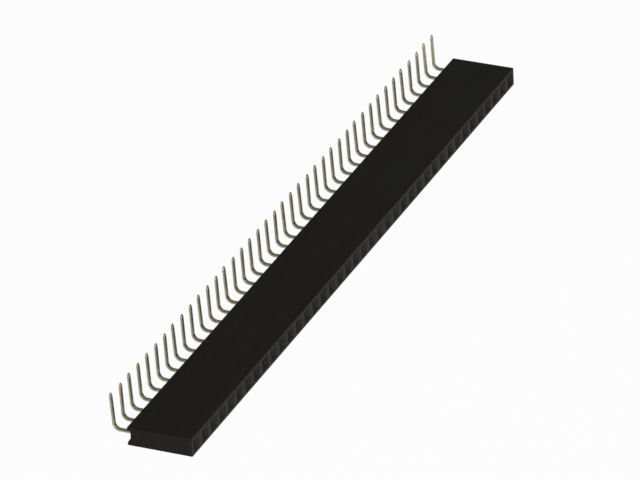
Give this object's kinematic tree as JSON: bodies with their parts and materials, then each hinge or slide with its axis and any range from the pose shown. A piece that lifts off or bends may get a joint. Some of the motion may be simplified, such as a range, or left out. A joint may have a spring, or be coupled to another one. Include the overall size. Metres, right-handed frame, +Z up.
{
  "type": "female pin header strip",
  "caption": "Single-row 2.54 mm socket strip with square lead-in mouths in a black moulded insulator and right-angle solder tails.",
  "frame": {"origin": "centre of the insulator's underside, the broad face that the strip lies on", "axes": "+X along the row, -Y out of the sockets, +Y towards the back where the tails leave, +Z up along the solder tails"},
  "size_m": [0.1016, 0.0112, 0.0061],
  "materials": {
    "insulator": "moulded, slightly satin",
    "contact": "thin gold flash over copper alloy, satin"
  },
  "bodies": {
    "root": {"insulator": "insulator", "contact_01": "contact", "contact_02": "contact", "contact_03": "contact", "contact_04": "contact", "contact_05": "contact", "contact_06": "contact", "contact_07": "contact", "contact_08": "contact", "contact_09": "contact", "contact_10": "contact", "contact_11": "contact", "contact_12": "contact", "contact_13": "contact", "contact_14": "contact", "contact_15": "contact", "contact_16": "contact", "contact_17": "contact", "contact_18": "contact", "contact_19": "contact", "contact_20": "contact", "contact_21": "contact", "contact_22": "contact", "contact_23": "contact", "contact_24": "contact", "contact_25": "contact", "contact_26": "contact", "contact_27": "contact", "contact_28": "contact", "contact_29": "contact", "contact_30": "contact", "contact_31": "contact", "contact_32": "contact", "contact_33": "contact", "contact_34": "contact", "contact_35": "contact", "contact_36": "contact", "contact_37": "contact", "contact_38": "contact", "contact_39": "contact", "contact_40": "contact"}
  },
  "joints": []
}
